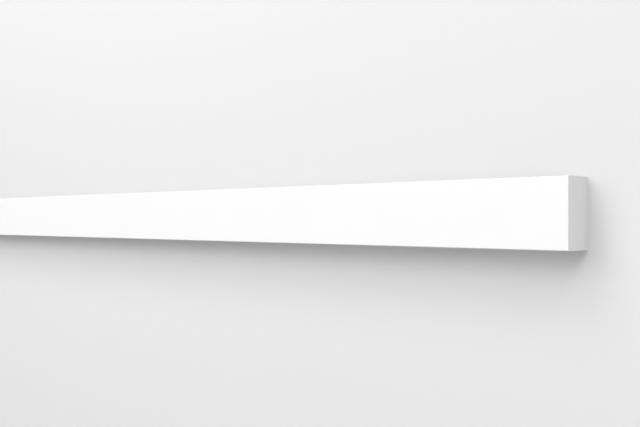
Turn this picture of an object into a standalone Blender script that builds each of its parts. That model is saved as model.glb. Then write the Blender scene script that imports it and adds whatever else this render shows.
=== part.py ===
"""Flat wall moulding strip: one straight bar of rectangular section, cut square at both ends.

It is extruded from white foamed polymer, so the four edges along its length are eased a little,
while the edges of the saw cuts stay sharp. The strip runs along X with its face towards -Y.
Its back lies in the plane y = 0, where the wall is, and the origin is the middle of that back.
"""

import math

import bmesh
import bpy

# Driving sizes, in metres.
STRIP_LENGTH = 1.000
FACE_HEIGHT = 0.050
THICKNESS = 0.025
FACE_EDGE_RADIUS = 0.0006
BACK_EDGE_RADIUS = 0.0003

ARC_STEPS = 4
SHARP_ANGLE = math.radians(30)

PRIMER_COLOUR = (0.80, 0.80, 0.80, 1.0)
PRIMER_ROUGHNESS = 0.55


def clear_scene():
    for obj in list(bpy.data.objects):
        bpy.data.objects.remove(obj, do_unlink=True)


def primed_polymer():
    """Matt white factory primer on foamed polymer."""
    material = bpy.data.materials.new("white_primed_polymer")
    material.use_nodes = True
    shader = material.node_tree.nodes["Principled BSDF"]
    shader.inputs["Base Color"].default_value = PRIMER_COLOUR
    shader.inputs["Roughness"].default_value = PRIMER_ROUGHNESS
    shader.inputs["Metallic"].default_value = 0.0
    return material


def rounded_corner(corner_y, corner_z, radius, first_angle):
    """Points of the quarter circle that eases one corner of the section, anticlockwise seen from +X.

    The circle's centre lies one radius inside the corner along both Y and Z.
    """
    centre_y = corner_y - math.copysign(radius, corner_y + THICKNESS / 2)
    centre_z = corner_z - math.copysign(radius, corner_z)
    angles = [first_angle + math.pi / 2 * step / ARC_STEPS for step in range(ARC_STEPS + 1)]
    return [(centre_y + radius * math.cos(a), centre_z + radius * math.sin(a)) for a in angles]


def strip_section():
    """The outline of the cut end as (y, z) points: lower face edge, lower back, upper back, upper face edge."""
    front, back = -THICKNESS, 0.0
    bottom, top = -FACE_HEIGHT / 2, FACE_HEIGHT / 2
    return [
        *rounded_corner(front, bottom, FACE_EDGE_RADIUS, math.pi),
        *rounded_corner(back, bottom, BACK_EDGE_RADIUS, math.pi * 3 / 2),
        *rounded_corner(back, top, BACK_EDGE_RADIUS, 0.0),
        *rounded_corner(front, top, FACE_EDGE_RADIUS, math.pi / 2),
    ]


def moulding_strip():
    """The section as one face at the left cut, extruded along the strip's length."""
    shape = bmesh.new()
    outline = [shape.verts.new((-STRIP_LENGTH / 2, y, z)) for y, z in strip_section()]
    left_cut = shape.faces.new(outline)
    drawn = bmesh.ops.extrude_face_region(shape, geom=[left_cut])
    right_cut = [item for item in drawn["geom"] if isinstance(item, bmesh.types.BMVert)]
    bmesh.ops.translate(shape, vec=(STRIP_LENGTH, 0.0, 0.0), verts=right_cut)
    bmesh.ops.recalc_face_normals(shape, faces=shape.faces)

    mesh = bpy.data.meshes.new("moulding_strip")
    shape.to_mesh(mesh)
    shape.free()
    mesh.shade_smooth()
    mesh.set_sharp_from_angle(angle=SHARP_ANGLE)
    strip = bpy.data.objects.new("moulding_strip", mesh)
    strip.data.materials.append(primed_polymer())
    bpy.context.scene.collection.objects.link(strip)
    return strip


def main():
    clear_scene()
    moulding_strip()


main()
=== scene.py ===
"""A flat wall moulding strip, glued to a pale wall and seen along its face from its right-hand end."""
import math

import bpy
import numpy as np
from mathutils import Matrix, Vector


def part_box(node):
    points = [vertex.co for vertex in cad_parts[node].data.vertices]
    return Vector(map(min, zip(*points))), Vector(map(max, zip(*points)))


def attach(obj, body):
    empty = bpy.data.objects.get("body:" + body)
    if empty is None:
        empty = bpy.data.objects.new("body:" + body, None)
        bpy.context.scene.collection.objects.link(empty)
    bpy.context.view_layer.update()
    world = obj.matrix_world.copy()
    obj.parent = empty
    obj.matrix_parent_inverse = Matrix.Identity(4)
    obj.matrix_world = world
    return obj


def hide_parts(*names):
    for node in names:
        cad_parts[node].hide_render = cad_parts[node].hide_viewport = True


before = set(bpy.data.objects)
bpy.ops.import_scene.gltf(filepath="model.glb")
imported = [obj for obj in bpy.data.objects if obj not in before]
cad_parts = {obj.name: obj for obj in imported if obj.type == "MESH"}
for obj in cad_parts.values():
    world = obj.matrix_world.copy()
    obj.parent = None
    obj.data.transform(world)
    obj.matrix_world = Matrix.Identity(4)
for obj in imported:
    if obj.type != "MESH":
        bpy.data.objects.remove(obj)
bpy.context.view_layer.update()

# The camera. It stands about half a metre out from the wall and a third of a metre beyond the strip's
# right end, level with the strip, and looks back along it through a 50 mm lens on a full-frame sensor.
# It is held level, and the small upward shift alone puts the horizon just below the middle of the frame.
CAMERA_PLACE = (0.8145, -0.5481, -0.0043)
CAMERA_TURN = math.radians(46.62)
FOCAL_LENGTH_MM = 50.0
SENSOR_WIDTH_MM = 36.0
UPWARD_SHIFT = 0.0099
NEAREST_SEEN = 0.01
lens = bpy.data.cameras.new("camera")
lens.lens = FOCAL_LENGTH_MM
lens.sensor_width = SENSOR_WIDTH_MM
lens.shift_y = UPWARD_SHIFT
lens.clip_start = NEAREST_SEEN
camera = bpy.data.objects.new("camera", lens)
camera.location = CAMERA_PLACE
camera.rotation_euler = (math.radians(90.0), 0.0, CAMERA_TURN)
bpy.context.scene.collection.objects.link(camera)
bpy.context.scene.camera = camera

# The moulding strip: one straight bar of foamed polystyrene. The die that it is drawn through eases its
# four long edges and leaves its back ribbed for the adhesive. The face, the top and the underside are
# sprayed with white primer, and both ends are sawn square. A bead of adhesive holds its back to the wall.
strip_low, strip_high = (np.array(corner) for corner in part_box("moulding_strip"))
FACE_EDGE_RADIUS = 0.0006
BACK_EDGE_RADIUS = 0.0003
SAWN_EDGE_RADIUS = 0.00015
SAWN_RIM_INSET = 0.00025
ARC_POINTS = 7
RUN_STEP = 0.0005
STATION_STEP = 0.010
FACE_SINK = 0.00006
FACE_SINK_RIPPLE = 0.00002
RIPPLE_LENGTH = 0.170
BACK_RIB_PITCH = 0.0030
BACK_RIB_DEPTH = 0.00018
BACK_RIBLESS_RIM = 0.0009
SHARP_ANGLE = math.radians(35.0)
ON_FACE, ON_TOP, ON_BACK, ON_UNDERSIDE = range(4)
# The second finish is the darker primer copy for the top and the underside, painted shade.
FACE_PRIMER, SHADE_DARKENED_SIDE_PRIMER, SAWN, SKIN = range(4)


def section_outline():
    """The section's outline, anticlockwise seen from +X: its (y, z) points, outward normals and sides.

    Each corner is a quarter circle about a centre one radius in from both its sides, and each side is a
    straight run of even steps from one quarter circle to the next. A corner's row ends with the side that
    its quarter circle is finished like and the side that runs on from it.
    """
    front, bottom = strip_low[1:]
    back, top = strip_high[1:]
    turns = np.linspace(0.0, math.pi / 2, ARC_POINTS)
    corners = [
        (front, bottom, 1, 1, FACE_EDGE_RADIUS, math.pi, ON_FACE, ON_UNDERSIDE),
        (back, bottom, -1, 1, BACK_EDGE_RADIUS, math.pi * 3 / 2, ON_UNDERSIDE, ON_BACK),
        (back, top, -1, -1, BACK_EDGE_RADIUS, 0.0, ON_TOP, ON_TOP),
        (front, top, 1, -1, FACE_EDGE_RADIUS, math.pi / 2, ON_FACE, ON_FACE),
    ]
    arcs, arc_normals = [], []
    for y, z, inward_y, inward_z, radius, first_angle, *_ in corners:
        directions = np.column_stack([np.cos(first_angle + turns), np.sin(first_angle + turns)])
        arcs.append(np.array([y + inward_y * radius, z + inward_z * radius]) + radius * directions)
        arc_normals.append(directions)
    points, normals, sides = [], [], []
    for number, corner in enumerate(corners):
        start, end = arcs[number][-1], arcs[(number + 1) % len(corners)][0]
        steps = max(2, round(float(np.linalg.norm(end - start)) / RUN_STEP))
        run = np.linspace(start, end, steps + 1)[1:-1]
        points += [arcs[number], run]
        normals += [arc_normals[number], np.tile(arc_normals[number][-1], (len(run), 1))]
        arc_side, run_side = corner[-2:]
        sides += [np.full(ARC_POINTS - 1, arc_side), np.full(len(run) + 1, run_side)]
    return np.concatenate(points), np.concatenate(normals), np.concatenate(sides)


def strip_depth(along, points, sides):
    """How far the surface lies inside the true section, over the grid of stations and outline points.

    The face sinks as a half cosine across its height, a little more and less in a long wave along the
    strip, because the core shrinks as it cools. The back has even cosine ribs along its length, which reach
    their full depth one pitch in from a plain rim.
    """
    across = points[:, 1] / strip_high[2]
    sink = np.where(sides == ON_FACE, np.cos(across * math.pi / 2), 0.0)
    wave = FACE_SINK + FACE_SINK_RIPPLE * np.sin(along * 2 * math.pi / RIPPLE_LENGTH)
    rib = 0.5 - 0.5 * np.cos(points[:, 1] * 2 * math.pi / BACK_RIB_PITCH)
    from_edge = (1.0 - np.abs(across)) * strip_high[2]
    full = np.clip((from_edge - BACK_RIBLESS_RIM) / BACK_RIB_PITCH, 0.0, 1.0)
    ribs = np.where(sides == ON_BACK, BACK_RIB_DEPTH * rib * full, 0.0)
    return wave[:, None] * sink[None, :] + ribs[None, :]


def strip_mesh():
    """The outline carried from the left cut to the right one, and closed there by the two sawn ends.

    Every station is a copy of the outline, moved in by the strip's own unevenness. Next to each cut the
    outline also draws in along a quarter circle, which takes the sharpness off the sawn edge, and then a
    little further within the plane of the cut, as a flat rim that belongs to the sawn end.
    """
    points, normals, sides = section_outline()
    turns = np.linspace(0.0, math.pi / 2, ARC_POINTS)
    near_cut = np.append(SAWN_EDGE_RADIUS * (1.0 - np.sin(turns)), 0.0)
    drawn_in = np.append(SAWN_EDGE_RADIUS * (1.0 - np.cos(turns)), SAWN_RIM_INSET)
    left, right = strip_low[0], strip_high[0]
    between = np.linspace(left + SAWN_EDGE_RADIUS, right - SAWN_EDGE_RADIUS,
                          round(float(right - left) / STATION_STEP) + 1)
    along = np.concatenate([left + near_cut[::-1], between[1:-1], right - near_cut])
    inset = np.concatenate([drawn_in[::-1], np.zeros(len(between) - 2), drawn_in])
    depth = strip_depth(along, points, sides) + inset[:, None]
    section = points[None, :, :] - depth[:, :, None] * normals[None, :, :]
    grid = np.concatenate([np.broadcast_to(along[:, None, None], (*section.shape[:2], 1)), section], axis=2)
    stations, around = grid.shape[:2]
    numbers = np.arange(stations * around).reshape(stations, around)
    here, ahead = numbers[:-1], numbers[1:]
    quads = np.stack([here, np.roll(here, -1, axis=1), np.roll(ahead, -1, axis=1), ahead], axis=2)
    mesh = bpy.data.meshes.new("moulding_strip_drawn")
    mesh.from_pydata(grid.reshape(-1, 3), [], [*quads.reshape(-1, 4).tolist(),
                                               numbers[0, ::-1].tolist(), numbers[-1].tolist()])
    # The top and the underside take the darker primer copy, painted shade.
    finish_of_side = np.array([FACE_PRIMER, SHADE_DARKENED_SIDE_PRIMER, SKIN, SHADE_DARKENED_SIDE_PRIMER])
    finishes = np.tile(finish_of_side[sides], (stations - 1, 1))
    finishes[[0, -1]] = SAWN
    mesh.polygons.foreach_set("material_index", [*finishes.ravel().tolist(), SAWN, SAWN])
    mesh.shade_smooth()
    mesh.set_sharp_from_angle(angle=SHARP_ANGLE)
    return mesh


def linear(hex_colour):
    """The sRGB hex colour as linear red, green, blue and alpha, each channel's curve undone."""
    channels = np.array([int(hex_colour[i:i + 2], 16) for i in (1, 3, 5)]) / 255
    curve = np.where(channels <= 0.04045, channels / 12.92, ((channels + 0.055) / 1.055) ** 2.4)
    return (*curve.tolist(), 1.0)


def add_node(tree, kind, settings=None, links=None):
    """Adds one node. A setting goes to the property of that name, or else to the input of that name."""
    node = tree.nodes.new(kind)
    for name, value in (settings or {}).items():
        if isinstance(name, str) and hasattr(node, name):
            setattr(node, name, value)
        else:
            node.inputs[name].default_value = value
    for name, source in (links or {}).items():
        tree.links.new(source, node.inputs[name])
    return node


def new_material(name, **shader_values):
    """A material with one Principled shader, whose named sockets are set to the given values."""
    material = bpy.data.materials.new(name)
    material.use_nodes = True
    shader = material.node_tree.nodes["Principled BSDF"]
    for socket, value in shader_values.items():
        shader.inputs[socket.replace("_", " ")].default_value = value
    return material, material.node_tree, shader


# Factory primer: white water-based paint, sprayed on the warm extrusion from in front of its face. It dries
# matt and very slightly pebbled, over faint lines from the die. The top and the underside get a darker copy
# of it, which is painted shade: they throw less light onto the wall, so its shade next to them comes out
# deeper. Real pebbles are under a millimetre across and are drawn twice as coarse, to show at all.
PRIMER_IOR = 1.5
CHALKINESS = 0.2
PRIMER_PATCH = 0.045
PEBBLE_WIDTH = 0.0016
PEBBLE_HEIGHT = 0.000010
DIE_LINE_SPACING = 0.0012
DIE_LINE_HEIGHT = 0.000008
DIE_LINE_STRETCH = (0.004, 1.0, 1.0)


def sprayed_primer(name, thin_colour, thick_colour):
    """Primer in faint patches of its two colours, with its pebbles and the die's lines in the height."""
    material, tree, shader = new_material(name, IOR=PRIMER_IOR, Metallic=0.0, Diffuse_Roughness=CHALKINESS)
    place = add_node(tree, "ShaderNodeTexCoord").outputs["Object"]
    patches = add_node(tree, "ShaderNodeTexNoise", {"Scale": 1 / PRIMER_PATCH, "Detail": 3.0},
                       {"Vector": place})
    tint = add_node(tree, "ShaderNodeMix",
                    {"data_type": "RGBA", 6: linear(thin_colour), 7: linear(thick_colour)},
                    {0: patches.outputs["Fac"]})
    tree.links.new(tint.outputs[2], shader.inputs["Base Color"])
    pebble = add_node(tree, "ShaderNodeTexNoise", {"Scale": 1 / PEBBLE_WIDTH, "Detail": 2.0},
                      {"Vector": place})
    gloss = add_node(tree, "ShaderNodeMapRange",
                     {"From Min": 0.3, "From Max": 0.7, "To Min": 0.50, "To Max": 0.58},
                     {"Value": pebble.outputs["Fac"]})
    tree.links.new(gloss.outputs["Result"], shader.inputs["Roughness"])
    drawn = add_node(tree, "ShaderNodeMapping", {"Scale": DIE_LINE_STRETCH}, {"Vector": place})
    die_lines = add_node(tree, "ShaderNodeTexNoise", {"Scale": 1 / DIE_LINE_SPACING, "Detail": 2.0},
                         {"Vector": drawn.outputs["Vector"]})
    pebble_bump = add_node(tree, "ShaderNodeBump", {"Strength": 1.0, "Distance": PEBBLE_HEIGHT},
                           {"Height": pebble.outputs["Fac"]})
    line_bump = add_node(tree, "ShaderNodeBump", {"Strength": 1.0, "Distance": DIE_LINE_HEIGHT},
                         {"Height": die_lines.outputs["Fac"], "Normal": pebble_bump.outputs["Normal"]})
    tree.links.new(line_bump.outputs["Normal"], shader.inputs["Normal"])
    return material


face_primer = sprayed_primer("sprayed_white_primer", "#D5D5D5", "#D7D7D7")
# The top and underside primer: darker colours, painted shade that deepens the wall's shade beside them.
shade_darkened_side_primer = sprayed_primer("white_primer_darkened_for_shade", "#BEBEBE", "#C2C2C2")

# Sawn foam: the bar's own white core, opened by a fine mitre-saw blade. Its cut cells make it duller than
# the primer, and each tooth leaves a shallow arc. The cells are about 0.3 mm across and are drawn twice
# that, so that they show.
FOAM_IOR = 1.5
CELL_WIDTH = 0.0006
CELL_DEPTH = 0.00002
TOOTH_MARK_SPACING = 0.0016
TOOTH_MARK_DEPTH = 0.000012
RINGS_APART_AT_SCALE_ONE = 0.314
BLADE_CENTRE_SHIFT = (0.0, 0.060, -0.105)
sawn, tree, shader = new_material("sawn_white_foam", IOR=FOAM_IOR, Metallic=0.0,
                                  Diffuse_Roughness=CHALKINESS)
place = add_node(tree, "ShaderNodeTexCoord").outputs["Object"]
cells = add_node(tree, "ShaderNodeTexVoronoi", {"Scale": 1 / CELL_WIDTH}, {"Vector": place})
tint = add_node(tree, "ShaderNodeMix", {"data_type": "RGBA", 6: linear("#D8D8D8"), 7: linear("#D2D2D2")},
                {0: cells.outputs["Distance"]})
tree.links.new(tint.outputs[2], shader.inputs["Base Color"])
dull = add_node(tree, "ShaderNodeMapRange", {"To Min": 0.62, "To Max": 0.74},
                {"Value": cells.outputs["Distance"]})
tree.links.new(dull.outputs["Result"], shader.inputs["Roughness"])
blade = add_node(tree, "ShaderNodeMapping", {"Location": BLADE_CENTRE_SHIFT}, {"Vector": place})
tooth_marks = add_node(tree, "ShaderNodeTexWave",
                       {"wave_type": "RINGS", "rings_direction": "X", "Distortion": 0.6, "Detail": 1.0,
                        "Scale": RINGS_APART_AT_SCALE_ONE / TOOTH_MARK_SPACING},
                       {"Vector": blade.outputs["Vector"]})
cell_bump = add_node(tree, "ShaderNodeBump", {"Strength": 1.0, "Distance": CELL_DEPTH},
                     {"Height": cells.outputs["Distance"]})
mark_bump = add_node(tree, "ShaderNodeBump", {"Strength": 1.0, "Distance": TOOTH_MARK_DEPTH},
                     {"Height": tooth_marks.outputs["Fac"], "Normal": cell_bump.outputs["Normal"]})
tree.links.new(mark_bump.outputs["Normal"], shader.inputs["Normal"])

# Bare extruded skin: what the die leaves where no primer is sprayed. It is a shade warmer and glossier
# than the primer, with fine lines drawn out along the whole strip.
POLYSTYRENE_IOR = 1.59
STREAK_SPACING = 0.0015
STREAK_HEIGHT = 0.00002
STREAK_STRETCH = (0.006, 1.0, 1.0)
skin, tree, shader = new_material("bare_extruded_polystyrene", IOR=POLYSTYRENE_IOR, Metallic=0.0)
place = add_node(tree, "ShaderNodeTexCoord").outputs["Object"]
drawn = add_node(tree, "ShaderNodeMapping", {"Scale": STREAK_STRETCH}, {"Vector": place})
streaks = add_node(tree, "ShaderNodeTexNoise", {"Scale": 1 / STREAK_SPACING, "Detail": 4.0},
                   {"Vector": drawn.outputs["Vector"]})
tint = add_node(tree, "ShaderNodeMix", {"data_type": "RGBA", 6: linear("#CECDC9"), 7: linear("#D5D4D0")},
                {0: streaks.outputs["Fac"]})
tree.links.new(tint.outputs[2], shader.inputs["Base Color"])
gloss = add_node(tree, "ShaderNodeMapRange",
                 {"From Min": 0.3, "From Max": 0.7, "To Min": 0.36, "To Max": 0.46},
                 {"Value": streaks.outputs["Fac"]})
tree.links.new(gloss.outputs["Result"], shader.inputs["Roughness"])
streak_bump = add_node(tree, "ShaderNodeBump", {"Strength": 1.0, "Distance": STREAK_HEIGHT},
                       {"Height": streaks.outputs["Fac"]})
tree.links.new(streak_bump.outputs["Normal"], shader.inputs["Normal"])

strip = bpy.data.objects.new("moulding_strip_drawn", strip_mesh())
bpy.context.scene.collection.objects.link(strip)
for finish in (face_primer, shade_darkened_side_primer, sawn, skin):
    strip.data.materials.append(finish)
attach(strip, "root")
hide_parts("moulding_strip")

# The wall: a plain sheet in matt emulsion paint, a shade darker than the primer. It is seen from the room
# only. From behind one looks through it, and it stands a hair in front of the strip's back, so that the
# back can be looked at and lit too.
WALL_HALF_WIDTH = 3.0
WALL_TOP = 2.2
FLOOR_LEVEL = -1.5
BACK_PROUD_OF_WALL = 0.0003
emulsion, tree, shader = new_material("matt_emulsion_paint", Base_Color=linear("#C8C8C8"), Roughness=0.9,
                                      Diffuse_Roughness=CHALKINESS)
clear = add_node(tree, "ShaderNodeBsdfTransparent")
behind = add_node(tree, "ShaderNodeNewGeometry").outputs["Backfacing"]
one_sided = add_node(tree, "ShaderNodeMixShader", None,
                     {0: behind, 1: shader.outputs["BSDF"], 2: clear.outputs["BSDF"]})
tree.links.new(one_sided.outputs["Shader"], tree.nodes["Material Output"].inputs["Surface"])


def stage_sheet(name, corners, material):
    """One flat rectangle through the four corners, named as part of the stage."""
    mesh = bpy.data.meshes.new(name)
    mesh.from_pydata(corners, [], [(0, 1, 2, 3)])
    mesh.materials.append(material)
    sheet = bpy.data.objects.new(name, mesh)
    bpy.context.scene.collection.objects.link(sheet)


stage_sheet("wall", [(-WALL_HALF_WIDTH, -BACK_PROUD_OF_WALL, FLOOR_LEVEL),
                     (WALL_HALF_WIDTH, -BACK_PROUD_OF_WALL, FLOOR_LEVEL),
                     (WALL_HALF_WIDTH, -BACK_PROUD_OF_WALL, WALL_TOP),
                     (-WALL_HALF_WIDTH, -BACK_PROUD_OF_WALL, WALL_TOP)], emulsion)

# The floor: plain pale screed, well below the strip and wide enough for its far edge to lie close under
# the horizon.
FLOOR_HALF_WIDTH = 60.0
screed, *_ = new_material("pale_floor_screed", Base_Color=linear("#ECECEC"), Roughness=0.8)
stage_sheet("floor", [(-FLOOR_HALF_WIDTH, -FLOOR_HALF_WIDTH, FLOOR_LEVEL),
                      (FLOOR_HALF_WIDTH, -FLOOR_HALF_WIDTH, FLOOR_LEVEL),
                      (FLOOR_HALF_WIDTH, FLOOR_HALF_WIDTH, FLOOR_LEVEL),
                      (-FLOOR_HALF_WIDTH, FLOOR_HALF_WIDTH, FLOOR_LEVEL)], screed)


# The studio light: four large softboxes in front of the wall and three smaller ones closer to the strip.
# Two low strips put a thin shade on the wall just over its top edge, and one more softbox, behind the
# wall, lights its back.
def softbox(name, azimuth, elevation, distance, size, power):
    """A rectangular lamp aimed at the strip's middle, given in degrees, metres and watts.

    It stands on a sphere of the given distance about that middle. Azimuth 0 is straight out from the wall
    and grows towards the right-hand end, and the elevation raises it.
    """
    lamp = bpy.data.lights.new(name, "AREA")
    lamp.shape = "RECTANGLE"
    lamp.size, lamp.size_y = size
    lamp.energy = power
    turn, rise = math.radians(azimuth), math.radians(elevation)
    towards = Vector((math.sin(turn) * math.cos(rise), -math.cos(turn) * math.cos(rise), math.sin(rise)))
    fitting = bpy.data.objects.new(name, lamp)
    fitting.location = towards * distance
    fitting.rotation_euler = towards.to_track_quat("Z", "Y").to_euler()
    fitting.visible_camera = False
    bpy.context.scene.collection.objects.link(fitting)


softbox("left_softbox", -30, 30, 3.1, (1.6, 2.0), 42.4)
softbox("front_softbox", 0, 16, 3.1, (1.6, 1.0), 12.9)
softbox("right_softbox", 30, 28, 3.1, (1.6, 0.6), 13.0)
softbox("far_left_softbox", -75, 5, 3.1, (1.2, 1.2), 4.0)
softbox("close_top_softbox", 0, 64, 1.6, (0.8, 0.5), 12.9)
softbox("close_right_softbox", 30, 40, 1.6, (0.8, 0.5), 3.1)
softbox("close_side_softbox", 60, 40, 1.6, (0.8, 0.5), 3.5)
softbox("low_left_strip", -30, -16, 1.6, (0.8, 0.08), 1.0)
softbox("low_right_strip", 60, -7, 1.6, (0.8, 0.08), 2.6)
softbox("back_softbox", 190, 35, 3.0, (1.6, 1.6), 70)

STUDIO_GREY = 0.45
world = bpy.data.worlds.new("studio")
world.use_nodes = True
world.node_tree.nodes["Background"].inputs["Color"].default_value = (STUDIO_GREY,) * 3 + (1.0,)
bpy.context.scene.world = world
bpy.context.scene.view_settings.view_transform = "Standard"
